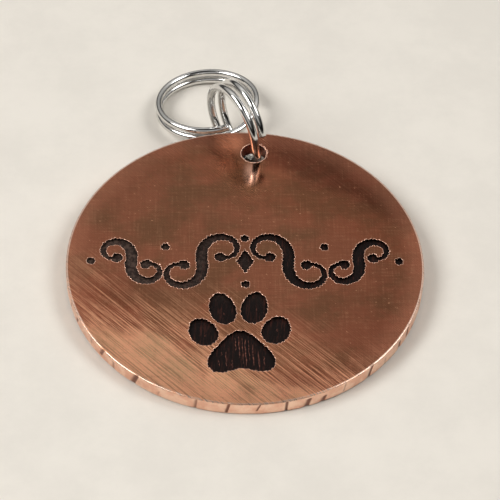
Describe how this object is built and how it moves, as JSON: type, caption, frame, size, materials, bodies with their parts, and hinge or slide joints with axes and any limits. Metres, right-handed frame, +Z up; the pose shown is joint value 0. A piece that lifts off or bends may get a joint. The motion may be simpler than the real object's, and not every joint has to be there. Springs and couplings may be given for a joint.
{
  "type": "pet id tag",
  "caption": "Round copper pet tag with a cut paw and scrollwork, hung from a chain of split rings that fastens it to a collar.",
  "frame": {"origin": "on the table, under the middle of the whole part as it lies", "axes": "+Z up from the table; +Y from the tag's lower edge through its hole and on to the rings; +X to the right as the tag is read"},
  "size_m": [0.0382, 0.0502, 0.01],
  "materials": {
    "copper": "brushed",
    "black_fill": "matte",
    "nickel": "polished"
  },
  "bodies": {
    "tag": {"tag_disc": "copper", "paw_fill": "black_fill", "scroll_fill": "black_fill"},
    "link_ring": {"link_ring": "nickel"},
    "collar_ring": {"collar_ring": "nickel"}
  },
  "joints": [
    {"name": "link_swing", "type": "hinge", "parent": "tag", "child": "link_ring", "pos_m": [0.0006, 0.00977, 0.00235], "axis": [-0.8387, -0.5441, -0.0244], "range_deg": [0, 60]},
    {"name": "collar_slide", "type": "hinge", "parent": "link_ring", "child": "collar_ring", "pos_m": [-0.0013, 0.01258, 0.00498], "axis": [0.8387, 0.5441, 0.0244], "range_deg": [0, 120]}
  ]
}
